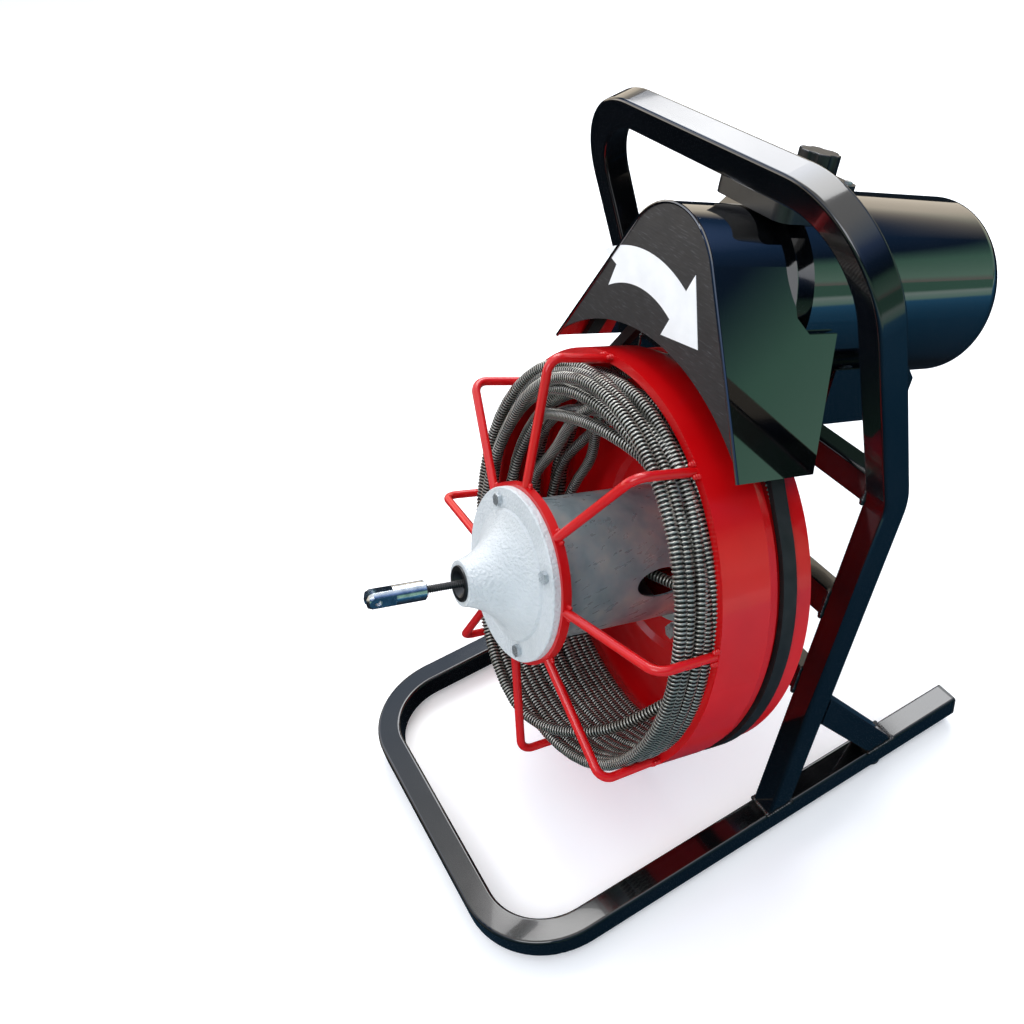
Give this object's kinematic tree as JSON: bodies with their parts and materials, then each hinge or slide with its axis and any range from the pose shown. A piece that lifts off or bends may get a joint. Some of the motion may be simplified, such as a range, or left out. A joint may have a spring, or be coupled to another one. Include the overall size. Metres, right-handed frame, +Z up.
{
  "type": "drain snake machine",
  "caption": "Floor-standing drain cleaning machine: bent square-tube frame, belt-driven open-cage cable drum with cast nose cone, motor, belt guard and switch.",
  "frame": {"origin": "on the floor, below the middle of the machine's width and length", "axes": "+Z up, the nose and cable point towards -Y, +X to the right seen from the front"},
  "size_m": [0.384, 0.6517, 0.6092],
  "materials": {
    "black_gloss": "gloss",
    "red_paint": "gloss",
    "guard_matte": "matte",
    "zinc": "satin",
    "cast_aluminium": "cast",
    "steel": "satin",
    "cable_steel": "oiled",
    "bright_steel": "polished",
    "black_plastic": "satin",
    "rubber": "matte",
    "sticker": "satin",
    "core_steel": "laminated",
    "copper": "enamelled"
  },
  "bodies": {
    "frame": {"base_frame": "black_gloss", "rail_end_plugs": "black_plastic", "rubber_feet": "rubber", "upright_frame": "black_gloss", "brace_left": "black_gloss", "brace_right": "black_gloss", "bearing_bars": "black_gloss", "motor_bar": "black_gloss", "bearing_housing": "black_gloss", "drum_bearings": "steel", "bearing_bolts": "zinc", "motor_shell": "black_gloss", "motor_front_bell": "black_gloss", "motor_rear_cover": "black_gloss", "motor_bearings": "steel", "stator_core": "core_steel", "stator_windings": "copper", "drive_belt": "rubber", "guard_wrap": "black_gloss", "guard_front_plate": "guard_matte", "guard_back_plate": "black_gloss", "guard_screw_set": "zinc", "direction_sticker": "sticker", "motor_cradle": "black_gloss", "motor_foot": "black_gloss", "foot_bolt_set": "zinc", "switch_box": "black_plastic", "switch_lid": "black_plastic", "lid_screw_set": "zinc", "switch_block": "black_plastic", "cord_gland": "black_plastic"},
    "drum": {"drum_shell": "red_paint", "drum_back_plate": "red_paint", "drum_hub": "steel", "drum_shaft": "steel", "shaft_nut": "zinc", "hub_bolt_set": "zinc", "hub_tube": "zinc", "cage_ring": "red_paint", "cage_rods": "red_paint", "nose_cone": "cast_aluminium", "nose_bolt_set": "zinc", "nose_bushing": "black_plastic", "cable_hank": "cable_steel", "cable_lead": "cable_steel"},
    "cable_tip": {"cable_end": "cable_steel", "leader_rod": "black_plastic", "clevis_coupling": "bright_steel"},
    "motor_rotor": {"rotor": "core_steel", "motor_shaft": "steel", "cooling_fan": "black_plastic", "motor_pulley": "steel"},
    "knob": {"switch_knob": "black_plastic", "switch_spindle": "black_plastic"}
  },
  "joints": [
    {"name": "drum_spin", "type": "hinge", "parent": "frame", "child": "drum", "pos_m": [0, -0.09887, 0.26], "axis": [0, -0.9397, 0.342], "continuous": true},
    {"name": "motor_spin", "type": "hinge", "parent": "frame", "child": "motor_rotor", "pos_m": [0, -0.00994, 0.50432], "axis": [0, -0.9397, 0.342], "continuous": true},
    {"name": "cable_feed", "type": "slide", "parent": "drum", "child": "cable_tip", "axis": [0, -0.9397, 0.342], "range_m": [0, 0.06]},
    {"name": "switch_turn", "type": "hinge", "parent": "frame", "child": "knob", "pos_m": [0.008, 0.14693, 0.54938], "axis": [0, 0.342, 0.9397], "range_deg": [-45, 45]}
  ],
  "couplings": [
    {"joint": "motor_spin", "follows": "drum_spin", "ratio": 6.2667}
  ]
}
